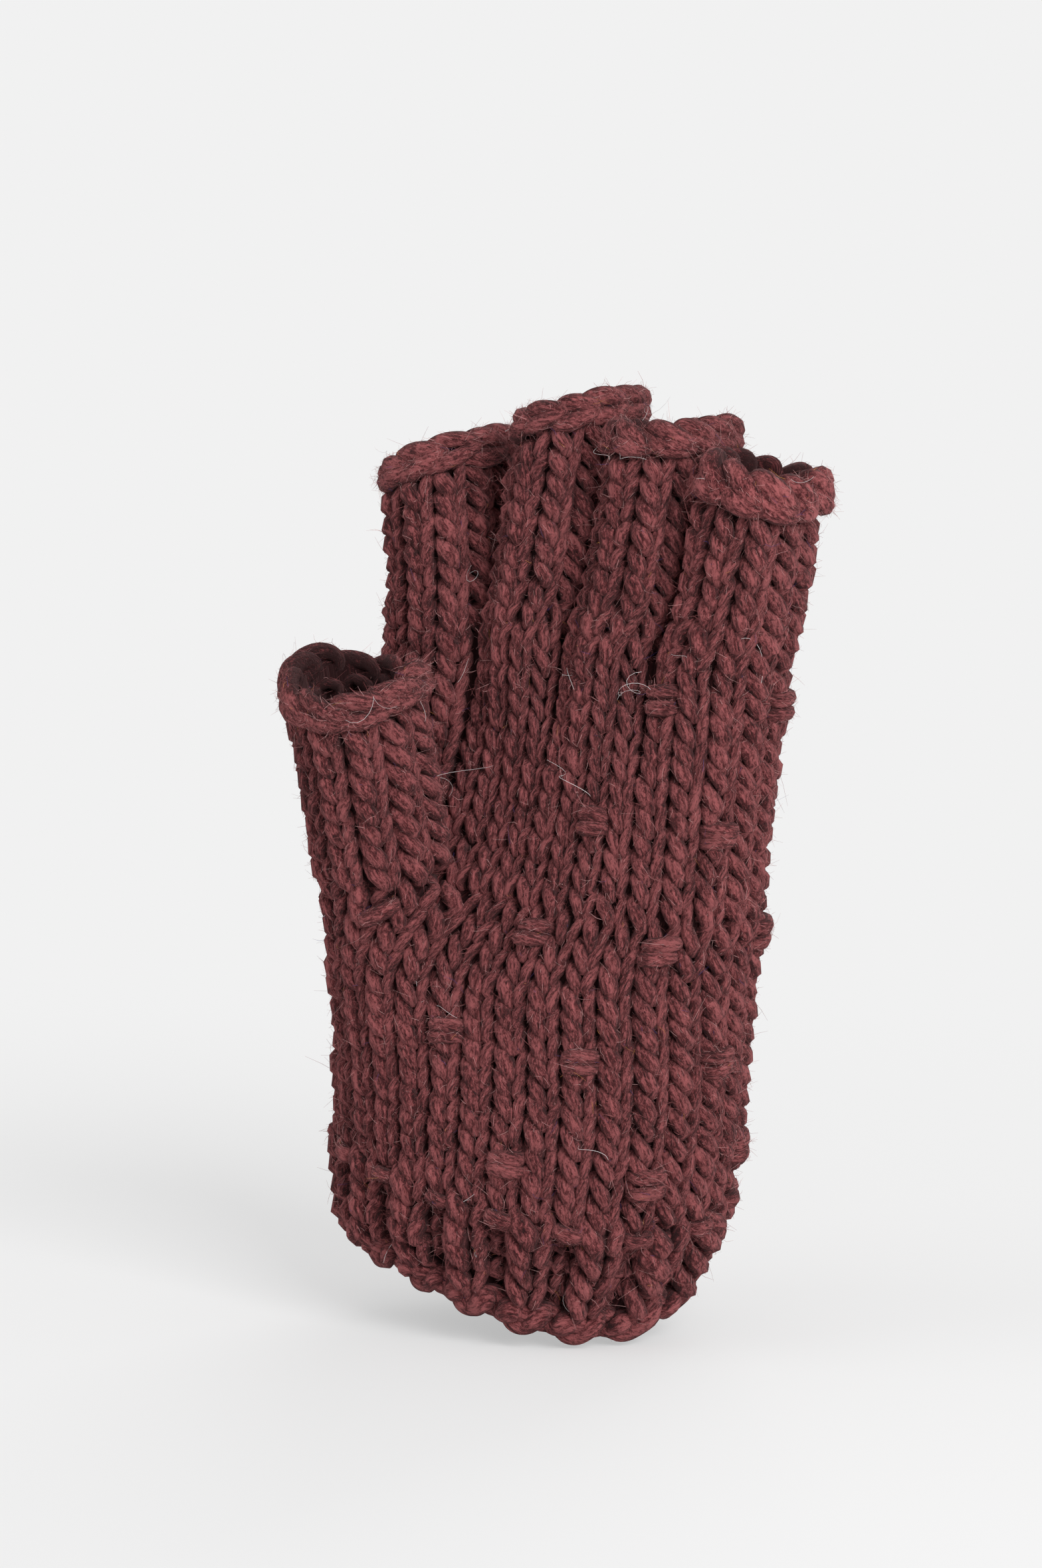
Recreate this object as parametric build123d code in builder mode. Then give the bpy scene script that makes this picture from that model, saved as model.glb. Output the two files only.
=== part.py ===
"""Hand-knitted fingerless glove for the left hand, in one bulky yarn.

It is worked in the round from the wrist up: a cast-on edge, a ribbed cuff, a plain hand tube
dotted with purl bars, and then five short tubes for the thumb and fingers, each closed with a
thick bound-off rim. Every tube is hollow and open at its far end. Outlines are polygons whose
sides follow the columns of stitches.

The frame is the hand's own. The origin is the centre of the wrist opening, +Z runs to the
fingertips, +X runs across the palm from the thumb to the little finger, and the palm faces -Y.
All sizes are in millimetres.
"""

import os
from math import cos, pi, radians, sin, tan

from build123d import *

os.makedirs("parts", exist_ok=True)

# The fabric
wall = 4.2  # thickness of the knitted fabric
hand_stitches = 32  # columns of stitches round the hand
finger_stitches = 10  # columns of stitches round each finger
hand_courses = 29  # rows of stitches from the hem to the finger roots
round_shape = 2.0  # squareness of a plain ellipse

# The hand tube: height, centre in X and Y, half width, half depth and squareness of its sections
hand_sections = (
    (-24.0, -5.5, -3.2, 29.0, 20.0, 2.0),
    (-6.0, -2.8, -1.6, 34.2, 24.5, 2.0),
    (4.0, -0.6, -0.4, 37.6, 27.8, 2.0),
    (12.0, -0.2, -0.2, 41.5, 30.8, 2.0),
    (34.0, 1.2, 0.3, 44.6, 30.4, 2.1),
    (58.0, 2.6, 0.9, 45.6, 26.6, 2.2),
    (94.0, 6.5, 2.5, 45.0, 20.5, 2.4),
    (130.0, 10.0, 4.0, 45.5, 15.5, 3.0),
)
top_height, top_x, top_y = hand_sections[-1][:3]
root_slope = 5.0  # degrees that the line of finger roots drops towards the little finger

# The hem dips under the little-finger side: reach from the middle towards that side, and height
dip_turn = -42.0  # direction of the dip, from +X about Z
hem_line = (
    (-60.0, 9.5), (-20.0, 8.0), (2.0, 4.0), (14.0, -0.5), (24.0, -5.5), (33.0, -11.0), (44.0, -17.0),
)
edge_height = 4.6  # cast-on edge
cuff_height = 19.0  # hem to the top of the ribbing
rib_count = hand_stitches // 2  # one knit and one purl column to a rib
rib_relief = 1.1  # how far a rib stands out of the cuff, and how far a valley sinks in
edge_relief = 0.7
cuff_sections = 5  # the hand tube's lowest sections, which reach over the whole of the ribbing
hand_start = 2  # the first section that the plain part of the hand tube needs

# Digits: width, depth, length with the rim, height of the rim, and the degrees by which the rim
# rises towards the little finger
digit_sizes = {
    "thumb": (27.6, 26.4, 42.5, 8.0, -3.0),
    "index": (23.0, 26.5, 37.5, 7.4, 15.0),
    "middle": (19.6, 28.0, 49.5, 7.4, 24.0),
    "ring": (20.6, 27.0, 47.4, 7.4, 13.0),
    "little": (22.0, 26.0, 41.0, 9.2, -2.0),
}
# X of each finger's root and its lean towards +X in degrees
fingers = {"index": (-20.6, -3.0), "middle": (1.2, 10.0), "ring": (22.1, 11.0), "little": (43.9, 11.5)}
finger_squareness = 2.5
column_relief = 0.35  # how far a column of stitches stands out of a finger tube
# Height of the soft ring at a digit's root that flexes with the knuckle
knuckle_heights = {"thumb": 18.0, "index": 14.0, "middle": 14.0, "ring": 14.0, "little": 14.0}

# Bound-off rims: a chain of slanting loops lying round the end of a tube
rim_flare = 1.8  # how far the chain stands proud of its tube in front and behind
loop_length = 11.0
loop_thickness = 4.8
loop_share = 0.7  # a loop's own height next to the rim's
loop_slant = 20.0
loop_sides = 8

# The thumb: centre of its root and its direction
thumb_root = Vector(-21.4, -22.6, 86.0)
thumb_direction = Vector(0.02, -0.29, 0.957).normalized()
# The swell that the thumb grows out of: centre, width and depth of its two lower sections
thumb_swell = (((-12.0, -4.0, 24.0), 48.0, 40.0), ((-18.0, -13.0, 58.0), 39.2, 32.0))

# Purl bumps: each is two short bars of yarn, one over the other, in every fourth column
bump_lines = ((7, 1), (12, 3), (17, 1), (22, 2), (27, 0))  # course of each line and its first column
bump_columns = 4
bar_length = 7.0
bar_height = 2.9
bar_stand = 1.3  # how far a bar stands out of the fabric
bar_spacing = 3.3
bar_chamfer = 0.8
knot_length = 4.2  # the single bar that closes each purl column at the top of the ribbing
knot_course = 4.7
thumb_clearance = (3.0, 24.0)  # bumps stay clear of the thumb and its swell by this much, out and up

clear_of_glove = 80.0  # reach of a cutting solid that has to pass the glove on every side
knuckle_seat = 8.0  # how far a finger's knuckle starts below the root before it is cut there
overrun = 3.0  # how far one hollow runs into the next so that they open into each other


def outline(half_width, half_depth, squareness, sides, ridges=0, relief=0.0):
    """Corners of a closed superellipse, pushed out and in by ridges round it."""
    corners = []
    for side in range(sides):
        angle = 2 * pi * side / sides
        across, along = cos(angle), sin(angle)
        x = half_width * abs(across) ** (2 / squareness) * (1 if across >= 0 else -1)
        y = half_depth * abs(along) ** (2 / squareness) * (1 if along >= 0 else -1)
        ridge = relief * cos(ridges * angle)
        corners.append((x + ridge * across, y + ridge * along))
    return corners


def lofted(sections, ruled=True):
    """A solid lofted through closed outlines, each given as its plane and its corners."""
    with BuildPart() as solid:
        for plane, corners in sections:
            with BuildSketch(plane):
                with BuildLine():
                    Polyline(*corners, close=True)
                make_face()
        loft(ruled=ruled)
    return solid.part


def prism(plane, corners, below, above):
    """A straight solid with one outline, from below its plane to above it."""
    with BuildPart() as solid:
        with BuildSketch(plane.offset(-below)):
            with BuildLine():
                Polyline(*corners, close=True)
            make_face()
        extrude(amount=below + above)
    return solid.part


def leaning(origin, degrees_to_x):
    """A plane across a tube that leans towards +X."""
    lean = radians(degrees_to_x)
    return Plane(origin, x_dir=(cos(lean), 0, -sin(lean)), z_dir=(sin(lean), 0, cos(lean)))


# ---------------------------------------------------------------- solids the fabric is cut from


def between(table, value):
    """The row of a table at a value of its first column, in proportion between its neighbours."""
    for low, high in zip(table, table[1:]):
        if value <= high[0]:
            break
    share = (value - low[0]) / (high[0] - low[0])
    return [a + share * (b - a) for a, b in zip(low, high)]


def hand_form(inset):
    """The hand tube as a full solid, its outside drawn in by the inset."""
    sections = []
    for height, x, y, half_width, half_depth, squareness in hand_sections[hand_start:]:
        slope = root_slope if height == top_height else 0.0
        corners = outline(half_width - inset, half_depth - inset, squareness, hand_stitches)
        sections.append((leaning((x, y, height), slope), corners))
    return lofted(sections)


def cuff_form(inset, ridges, relief):
    """The cuff as a full solid with upright ridges round it, over both its bands."""
    sections = []
    sides = 4 * rib_count
    for height, x, y, half_width, half_depth, squareness in hand_sections[:cuff_sections]:
        corners = outline(half_width - inset, half_depth - inset, squareness, sides, ridges, relief)
        sections.append((leaning((x, y, height), 0), corners))
    return lofted(sections)


def under_hem(lift):
    """Everything below the hem's line, raised by the lift."""
    turn = radians(dip_turn)
    upright = Plane((0, 0, 0), x_dir=(cos(turn), sin(turn), 0), z_dir=(sin(turn), -cos(turn), 0))
    line = [(reach, height + lift) for reach, height in hem_line]
    with BuildPart() as region:
        with BuildSketch(upright):
            with BuildLine():
                Polyline(*line, (line[-1][0], -clear_of_glove), (line[0][0], -clear_of_glove), close=True)
            make_face()
        extrude(amount=clear_of_glove, both=True)
    return region.part


def thumb_plane(height=0.0):
    """The plane across the thumb at a height above its root, X towards the little finger."""
    origin = thumb_root + thumb_direction * height
    return Plane(origin, x_dir=(1, 0, -thumb_direction.X / thumb_direction.Z), z_dir=thumb_direction)


def thumb_form(inset, over):
    """The swell that carries the thumb, as a full solid that ends over the root's plane."""
    sections = []
    for centre, width, depth in thumb_swell:
        corners = outline(width / 2 - inset, depth / 2 - inset, round_shape, 2 * finger_stitches)
        sections.append((leaning(centre, 0), corners))
    width, depth = digit_sizes["thumb"][:2]
    corners = outline(width / 2 - inset, depth / 2 - inset, round_shape, 2 * finger_stitches)
    sections.append((thumb_plane(over), corners))
    return lofted(sections, ruled=False)


def finger_plane(name, height=0.0):
    """The plane across a finger at a height above its root."""
    x, lean = fingers[name]
    z = top_height - (x - top_x) * tan(radians(root_slope))
    up = Vector(sin(radians(lean)), 0, cos(radians(lean)))
    return leaning(Vector(x, top_y, z) + up * height, lean)


def digit(name):
    """A digit's plane at its root, its width, depth and squareness."""
    width, depth = digit_sizes[name][:2]
    if name == "thumb":
        return thumb_plane(), width, depth, round_shape
    return finger_plane(name), width, depth, finger_squareness


def tube(name, low, high):
    """A stretch of a digit's hollow tube between two heights above its root."""
    plane, width, depth, squareness = digit(name)
    sides = 2 * finger_stitches
    outside = outline(
        width / 2 - column_relief, depth / 2 - column_relief, squareness,
        sides, finger_stitches, column_relief,
    )
    inside = outline(width / 2 - wall, depth / 2 - wall, squareness, sides)
    with BuildPart() as stretch:
        add(prism(plane, outside, -low, high))
        add(prism(plane, inside, overrun - low, high + overrun), mode=Mode.SUBTRACT)
    return stretch.part


def fabric_spot(column, course):
    """A plane on the hand tube's outside, X along the course of stitches and Z outwards.

    Courses share the height between the hem's line and the finger roots. Columns count from the
    thumb side round by the palm.
    """
    spot = 2 * column + 1 + hand_stitches

    def corner(height, step=0):
        _, x, y, half_width, half_depth, squareness = between(hand_sections, height)
        corners = outline(half_width, half_depth, squareness, 2 * hand_stitches)
        return Vector(x, y, height) + Vector(*corners[(spot + step) % len(corners)])

    low, high = corner(0), corner(top_height)
    hem = between(hem_line, low.X * cos(radians(dip_turn)) + low.Y * sin(radians(dip_turn)))[1]
    root = top_height - (high.X - top_x) * tan(radians(root_slope))
    height = hem + (root - hem) * course / hand_courses
    row = (corner(height, 1) - corner(height, -1)).normalized()
    return Plane(corner(height), x_dir=row, z_dir=(row.Y, -row.X, 0))


root_plane = leaning((top_x, top_y, top_height), root_slope)

# ---------------------------------------------------------------- cuff

with BuildPart() as cast_on_edge:
    add(cuff_form(0, hand_stitches, edge_relief))
    add(cuff_form(wall, hand_stitches, edge_relief), mode=Mode.SUBTRACT)
    add(under_hem(edge_height), mode=Mode.INTERSECT)
    add(under_hem(0), mode=Mode.SUBTRACT)
cast_on_edge.part.label = "cast_on_edge"
export_step(cast_on_edge.part, "parts/cast_on_edge.step")

with BuildPart() as cuff_rib:
    add(cuff_form(0, rib_count, rib_relief))
    add(cuff_form(wall, rib_count, rib_relief), mode=Mode.SUBTRACT)
    add(under_hem(cuff_height), mode=Mode.INTERSECT)
    add(under_hem(edge_height), mode=Mode.SUBTRACT)
cuff_rib.part.label = "cuff_rib"
export_step(cuff_rib.part, "parts/cuff_rib.step")

# ---------------------------------------------------------------- hand with the thumb's swell

with BuildPart() as hand_outside:
    add(hand_form(0))
    add(thumb_form(0, 0))

with BuildPart() as hand_hollow:
    add(hand_form(wall))
    split(bisect_by=root_plane.offset(-wall), keep=Keep.BOTTOM)
    add(thumb_form(wall, overrun))
    for name in fingers:
        plane, width, depth, squareness = digit(name)
        inside = outline(width / 2 - wall, depth / 2 - wall, squareness, 2 * finger_stitches)
        add(prism(plane, inside, wall + 3 * overrun, wall))

with BuildPart() as hand_body:
    add(hand_outside.part)
    add(hand_hollow.part, mode=Mode.SUBTRACT)
    add(under_hem(cuff_height), mode=Mode.SUBTRACT)
hand_body.part.label = "hand_body"
export_step(hand_body.part, "parts/hand_body.step")


def bar(length):
    """A short bar of yarn lying on the fabric, its outer edges rounded off."""
    with BuildPart() as strand:
        Box(length, bar_height, 3 * bar_stand)
        chamfer(strand.faces().sort_by(Axis.Z)[-1].edges(), bar_chamfer)
    return strand.part


bump_bar = bar(bar_length)
knot = bar(knot_length)
thumb_surroundings = thumb_form(-thumb_clearance[0], thumb_clearance[1])
with BuildPart() as purl_bars:
    for course, first_column in bump_lines:
        for column in range(first_column, hand_stitches, bump_columns):
            spot = fabric_spot(column, course)
            if not thumb_surroundings.is_inside(spot.origin):
                for side in (-1, 1):
                    add(bump_bar.moved(spot.location * Pos(0, side * bar_spacing / 2, -bar_stand / 2)))
    for column in range(1, hand_stitches, 2):
        spot = fabric_spot(column, knot_course)
        add(knot.moved(spot.location * Pos(0, 0, -bar_stand / 2)))
    add(hand_outside.part, mode=Mode.SUBTRACT)
    add(cuff_rib.part, mode=Mode.SUBTRACT)
purl_bars.part.label = "purl_bars"
export_step(purl_bars.part, "parts/purl_bars.step")

# ---------------------------------------------------------------- thumb and finger tubes

for name in digit_sizes:
    plane, width, depth, squareness = digit(name)
    length, rim_height, rim_rise = digit_sizes[name][2:]
    tube_top = length - rim_height
    knuckle_top = knuckle_heights[name]
    rim_lift = width / 2 * tan(radians(rim_rise))
    rim_base = plane.offset(tube_top).rotated((0, -rim_rise, 0))

    with BuildPart() as knuckle:
        if name == "thumb":
            add(tube(name, 0, knuckle_top))
            add(hand_outside.part, mode=Mode.SUBTRACT)
        else:
            add(tube(name, -knuckle_seat, knuckle_top))
            split(bisect_by=root_plane, keep=Keep.TOP)
    knuckle.part.label = name + "_knuckle"
    export_step(knuckle.part, "parts/" + name + "_knuckle.step")

    with BuildPart() as finger_tube:
        add(tube(name, knuckle_top, tube_top + rim_lift + overrun))
        split(bisect_by=rim_base, keep=Keep.BOTTOM)
    finger_tube.part.label = name + "_tube"
    export_step(finger_tube.part, "parts/" + name + "_tube.step")

    # The chain's path runs where each loop's outer edge just reaches the rim's outline
    path_x = (width - loop_thickness) / 2
    path_y = (depth - loop_thickness) / 2 + rim_flare
    slant = radians(loop_slant)
    middle = rim_base.offset(rim_height / 2)
    with BuildPart() as bind_off:
        for loop in range(finger_stitches):
            angle = 2 * pi * (loop + 0.5) / finger_stitches
            spot = Vector(path_x * cos(angle), path_y * sin(angle), 0)
            along = Vector(-path_x * sin(angle), path_y * cos(angle), 0).normalized()
            outward = Vector(along.Y, -along.X, 0)
            tilted = along * cos(slant) + Vector(0, 0, sin(slant))
            across = Plane(spot, x_dir=outward, z_dir=tilted)
            with BuildSketch(Plane(middle.location * across.location)):
                with BuildLine():
                    corners = outline(
                        loop_thickness / 2, loop_share * rim_height / 2, round_shape, loop_sides
                    )
                    Polyline(*corners, close=True)
                make_face()
            extrude(amount=loop_length / 2, both=True)
        split(bisect_by=rim_base, keep=Keep.TOP)
    bind_off.part.label = name + "_bind_off"
    export_step(bind_off.part, "parts/" + name + "_bind_off.step")
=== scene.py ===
"""A hand-knitted fingerless glove for the left hand, made stitch by stitch.

The glove is one bulky single-ply woollen yarn, worked in the round from the wrist up: a cast-on edge,
a ribbed cuff, a plain hand tube dotted with purl bumps, then a tube for the thumb and for each finger,
each bound off in a thick chain. Every course of knitting is one strand here, carried along the loops
that the real yarn makes, so the fabric has its real thickness, its purl side and its open ends.
"""

import bpy
import numpy as np
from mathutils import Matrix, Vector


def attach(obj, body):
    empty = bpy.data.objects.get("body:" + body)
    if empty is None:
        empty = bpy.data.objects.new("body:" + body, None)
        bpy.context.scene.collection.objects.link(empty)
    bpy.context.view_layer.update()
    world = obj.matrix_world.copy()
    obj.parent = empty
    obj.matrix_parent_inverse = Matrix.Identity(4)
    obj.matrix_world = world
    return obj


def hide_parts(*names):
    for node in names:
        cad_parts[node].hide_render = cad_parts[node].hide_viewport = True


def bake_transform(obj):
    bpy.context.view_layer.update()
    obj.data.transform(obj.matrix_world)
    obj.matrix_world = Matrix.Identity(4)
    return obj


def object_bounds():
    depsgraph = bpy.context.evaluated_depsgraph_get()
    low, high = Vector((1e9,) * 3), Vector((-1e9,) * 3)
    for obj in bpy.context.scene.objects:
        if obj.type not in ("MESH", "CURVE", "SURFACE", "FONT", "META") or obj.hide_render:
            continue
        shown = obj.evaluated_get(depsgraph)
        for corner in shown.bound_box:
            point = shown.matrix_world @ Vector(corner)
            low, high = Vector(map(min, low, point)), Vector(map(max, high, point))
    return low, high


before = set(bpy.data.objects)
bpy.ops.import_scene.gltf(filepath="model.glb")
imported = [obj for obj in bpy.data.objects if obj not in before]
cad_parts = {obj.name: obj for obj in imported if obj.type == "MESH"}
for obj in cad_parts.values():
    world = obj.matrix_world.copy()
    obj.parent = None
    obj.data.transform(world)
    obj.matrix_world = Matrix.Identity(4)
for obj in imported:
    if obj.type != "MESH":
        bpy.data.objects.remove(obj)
cad_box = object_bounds()

# ============================================================ cast-on edge
# The first row is cast on as two strands of soft single-ply wool, twisted round each other into a rope that
# edges the hem. The glove is stretched over a hand, so the form of the hand tube comes first, then the
# strand and its wool, and then the rope.

MM = 0.001
HAND_COLUMNS = 32
HAND_COURSES = 29  # from the hem to the line of finger roots, the cast-on edge and ribs included
# Height, centre in X and Y, half width, half depth and squareness of the hand tube's sections, in mm
HAND_SECTIONS = np.array([
    (-24.0, -5.5, -3.2, 29.0, 20.0, 2.0),
    (-6.0, -2.8, -1.6, 34.2, 24.5, 2.0),
    (4.0, -0.6, -0.4, 37.6, 27.8, 2.0),
    (12.0, -0.2, -0.2, 41.5, 30.8, 2.0),
    (34.0, 1.2, 0.3, 44.6, 30.4, 2.1),
    (58.0, 2.6, 0.9, 45.6, 26.6, 2.2),
    (94.0, 6.5, 2.5, 45.0, 20.5, 2.4),
    (130.0, 10.0, 4.0, 45.5, 15.5, 3.0),
])
# Height, centre in X and Y, half width and half depth of the thumb's swell
SWELL_SECTIONS = np.array([
    (-24.0, -8.0, 0.0, 20.0, 14.0),
    (24.0, -12.0, -4.0, 24.0, 20.0),
    (58.0, -18.0, -13.0, 19.6, 16.0),
    (88.0, -21.4, -23.2, 13.8, 13.2),
])
SWELL_TOP = 92  # height at which the thumb leaves the hand
SWELL_FILLET = 5.0
# How much of the hand's own middle and of the swell's, in X and Y, is in the centre of the outline's radii
HAND_SHARE, SWELL_SHARE = (0.15, 0.4), (0.85, 0.6)
SWELL_COLUMNS = 6.5  # columns of stitches that the swell takes up at its top
SWELL_FAN = (56, 86)  # heights between which the palm's columns fan out round the thumb
FAN_BLUR = 9  # grid points over which the fan's ends are rounded off
HEM_TURN = np.radians(-42.0)  # direction in which the hem dips
# Reach from the middle in that direction, and the hem's height there
HEM_LINE = np.array([
    (-60.0, 9.5), (-20.0, 8.0), (2.0, 4.0), (14.0, -0.5), (24.0, -5.5), (33.0, -11.0), (44.0, -17.0),
])
HEM_BLUR = 18  # grid points over which the hem's line is rounded off
ROOT_SLOPE = np.tan(np.radians(5.0))
FINGER_EDGES = (-8.9, 11.3, 32.5)  # X of the grooves between the fingers
FINGER_SHARING = (45, 122)  # heights between which the columns share themselves out to the fingers
SHARING_BLUR = 6  # eighths of a column over which that sharing is rounded off
GROOVE_DEPTH = 0.29
GROOVE_WIDTH = 4.5
GROOVE_RISE = (100, 132)  # heights between which the grooves deepen
PALM_HOLLOW = (-2.0, 104.0, 3.5, 16.0, 20.0)  # X and height of its middle, depth, half width and half height
OUTLINE_POINTS = 1440
GRID_COLUMNS = 12  # grid points to a column of stitches
GRID_COURSES = 4  # and to a course
LEVEL_STEP = 1.5
LEVELS = np.arange(-24.0, 138.1, LEVEL_STEP)  # heights at which the hand's outline is worked out
HEM_LEVEL, ROOT_LEVEL = -12.0, 130.5  # the two that stand for the outline at the hem and at the roots


def smooth(low, high, value):
    """0 below low, 1 above high, and between them the S-shaped ramp 3 t^2 - 2 t^3."""
    t = np.clip((value - low) / (high - low), 0, 1)
    return t * t * (3 - 2 * t)


def blurred(values, reach):
    """Values round a ring, each replaced by the bell-weighted mean of those within a reach of it."""
    weights = np.hanning(2 * reach + 1)
    ring = np.concatenate((values[-reach:], values, values[:reach]))
    return np.convolve(ring, weights / weights.sum(), "valid")


def at_height(table, height):
    """The rest of a row of a table whose first entry is this height, in proportion between its rows."""
    return [np.interp(height, table[:, 0], entries) for entries in table.T[1:]]


def root_height(x):
    """Height of the line of finger roots, which drops towards the little finger: top - slope (x - middle)."""
    return HAND_SECTIONS[-1, 0] - (x - HAND_SECTIONS[-1, 1]) * ROOT_SLOPE


def hand_section(height, with_thumb):
    """The closed outline of the hand tube at a height, from the thumb side round by the palm.

    A superellipse is read in polar form about a centre that it shares with the thumb's swell, the two
    radii are joined by a smooth maximum, and then the grooves and the hollow are pressed in.
    """
    x, y, half_width, half_depth, square = at_height(HAND_SECTIONS, height)
    swell_x, swell_y, swell_w, swell_d = at_height(SWELL_SECTIONS, height)
    with_thumb = with_thumb and height < SWELL_TOP
    if not with_thumb:
        swell_x, swell_y = x, y
    middle = np.array(HAND_SHARE) * (x, y) + np.array(SWELL_SHARE) * (swell_x, swell_y)
    turn = np.linspace(0, 2 * np.pi, OUTLINE_POINTS, endpoint=False)
    cos, sin = np.cos(turn), np.sin(turn)
    oval = np.stack((x + half_width * np.sign(cos) * np.abs(cos) ** (2 / square),
                     y + half_depth * np.sign(sin) * np.abs(sin) ** (2 / square)), -1) - middle
    start = np.arctan2(y - middle[1], x - half_width - middle[0])
    bearing = start + turn
    angle = np.arctan2(oval[:, 1], oval[:, 0])
    order = np.argsort(angle)
    radius = np.interp(bearing, angle[order], np.hypot(*oval.T)[order], period=2 * np.pi)
    if with_thumb:
        ux, uy = np.cos(bearing) / swell_w, np.sin(bearing) / swell_d
        px, py = (middle[0] - swell_x) / swell_w, (middle[1] - swell_y) / swell_d
        a, b, c = ux**2 + uy**2, ux * px + uy * py, px**2 + py**2 - 1
        swell = (-b + np.sqrt(b * b - a * c)) / a
        gap = np.clip(0.5 + 0.5 * (radius - swell) / SWELL_FILLET, 0, 1)
        radius = swell * (1 - gap) + radius * gap + SWELL_FILLET * gap * (1 - gap)
    outline = middle + radius[:, None] * np.stack((np.cos(bearing), np.sin(bearing)), -1)
    near_top = smooth(*GROOVE_RISE, height)
    for edge in FINGER_EDGES:
        pinch = GROOVE_DEPTH * near_top * np.exp(-((outline[:, 0] - edge) / GROOVE_WIDTH) ** 2)
        outline[:, 1] = y + (outline[:, 1] - y) * (1 - pinch)
    hollow_x, hollow_z, depth, wide, high = PALM_HOLLOW
    sink = depth * np.exp(-((outline[:, 0] - hollow_x) / wide) ** 2 - ((height - hollow_z) / high) ** 2)
    outline[:, 1] += sink * (outline[:, 1] < y)
    return outline


def spread(outline, height, columns):
    """Arc lengths of these columns round an outline: evenly spread low down, four to a finger at the top.

    Also returns the closed outline with its own arc lengths, and that of its little-finger edge.
    """
    closed = np.concatenate((outline, outline[:1]))
    run = np.concatenate(([0], np.cumsum(np.hypot(*np.diff(closed, axis=0).T))))
    right = np.argmax(closed[:, 0])
    front = [np.interp(edge, closed[:right, 0], run[:right]) for edge in FINGER_EDGES]
    back = [np.interp(-edge, -closed[right:, 0], run[right:]) for edge in FINGER_EDGES[::-1]]
    marks = np.array([0, *front, run[right], *back, run[-1]])
    fine = np.arange(0, HAND_COLUMNS, 1 / 8)
    shared = np.interp(fine, np.linspace(0, HAND_COLUMNS, len(marks)), marks) - run[-1] * fine / HAND_COLUMNS
    shared = np.interp(columns, fine, blurred(shared, SHARING_BLUR), period=HAND_COLUMNS)
    arcs = run[-1] * columns / HAND_COLUMNS + smooth(*FINGER_SHARING, height) * shared
    return arcs, closed, run, run[right]


def hand_level(height, with_thumb, columns):
    """Points of these columns at a height.

    Towards the thumb's root the palm's columns move over to where they run beside and behind the thumb,
    so that they fan out round it, and the first few share what is left of the swell between them.
    """
    arcs, closed, run, right = spread(hand_section(height, with_thumb), height, columns)
    if with_thumb:
        plain, _, _, plain_right = spread(hand_section(height, False), height, columns)
        beside = right + plain - plain_right
        marks = (0, SWELL_COLUMNS, HAND_COLUMNS - 1, HAND_COLUMNS)
        ends = (0, *np.interp(marks[1:3], columns, beside), run[-1])
        on_swell = (columns < marks[1]) | (columns > marks[2])
        fanned = np.where(on_swell, np.interp(columns, marks, ends), beside)
        even = run[-1] * columns / HAND_COLUMNS
        fanned = even + blurred(fanned - even, FAN_BLUR)
        arcs = arcs + smooth(*SWELL_FAN, height) * (fanned - arcs)
    return np.stack([np.interp(arcs % run[-1], run, c) for c in closed.T], -1)


def unit(vectors):
    """The same directions with length 1."""
    return vectors / np.linalg.norm(vectors, axis=-1, keepdims=True)


def surface(grid, first, last):
    """A place on a grid of fabric: P(column, course, lift), lift being how far out along the normal.

    The grid runs once round in columns and from the first to the last course. Points and normals are
    read between its corners by weighting the four nearest.
    """
    rows, columns = grid.shape[:2]
    wrapped = np.concatenate((grid[:, -1:], grid, grid[:, :1]), 1)
    along = wrapped[:, 2:] - wrapped[:, :-2]
    up = np.gradient(grid, axis=0)
    normals = unit(np.cross(along, up))

    def place(column, course, lift, total):
        """Points and normals at these columns, out of a total round the tube, courses and lifts."""
        i = (column / total * columns) % columns
        j = np.clip((course - first) / (last - first) * (rows - 1), 0, rows - 1.001)
        i0, j0 = np.floor(i).astype(int) % columns, np.floor(j).astype(int)
        fi, fj = (i - np.floor(i))[:, None], (j - j0)[:, None]
        i1 = (i0 + 1) % columns
        mixed = [(g[j0, i0] * (1 - fi) + g[j0, i1] * fi) * (1 - fj)
                 + (g[j0 + 1, i0] * (1 - fi) + g[j0 + 1, i1] * fi) * fj for g in (grid, normals)]
        return mixed[0] + lift[:, None] * mixed[1], mixed[1]

    return place


def hand_grid(with_thumb):
    """The hand tube's surface, one row of points after another from below the hem to past the roots.

    Each column climbs from the hem's line to the line of finger roots: z = hem + (top - hem) share.
    """
    columns = np.arange(0, HAND_COLUMNS, 1 / GRID_COLUMNS)
    levels = np.stack([hand_level(height, with_thumb, columns) for height in LEVELS])
    low, high = levels[np.searchsorted(LEVELS, (HEM_LEVEL, ROOT_LEVEL))]
    reach = low[:, 0] * np.cos(HEM_TURN) + low[:, 1] * np.sin(HEM_TURN)
    hem = blurred(np.interp(reach, *HEM_LINE.T), HEM_BLUR)
    top = root_height(high[:, 0])
    course = np.arange(-1, HAND_COURSES + 1.01, 1 / GRID_COURSES)[:, None]
    z = hem + (top - hem) * course / HAND_COURSES
    at = np.clip((z - LEVELS[0]) / LEVEL_STEP, 0, len(LEVELS) - 1.001)
    below, part, column = np.floor(at).astype(int), (at % 1)[..., None], np.arange(len(columns))
    flat = levels[below, column] * (1 - part) + levels[below + 1, column] * part
    return np.concatenate((flat, z[..., None]), -1)


below_thumb = surface(hand_grid(True), -1, HAND_COURSES + 1)

SAMPLES = 16  # points along the yarn of one stitch
SIDES = 8  # corners round the strand
MAP_SHIFT = 37.0  # mm by which the fibres of strands with neighbouring seeds are shifted along them
TWIST = -0.16  # radians that the fibres turn in each mm of yarn
PAINTED_STRAND_SHADE = 0.070  # painted shade: how much lighter the strand's face is painted than its sides and back


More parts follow.
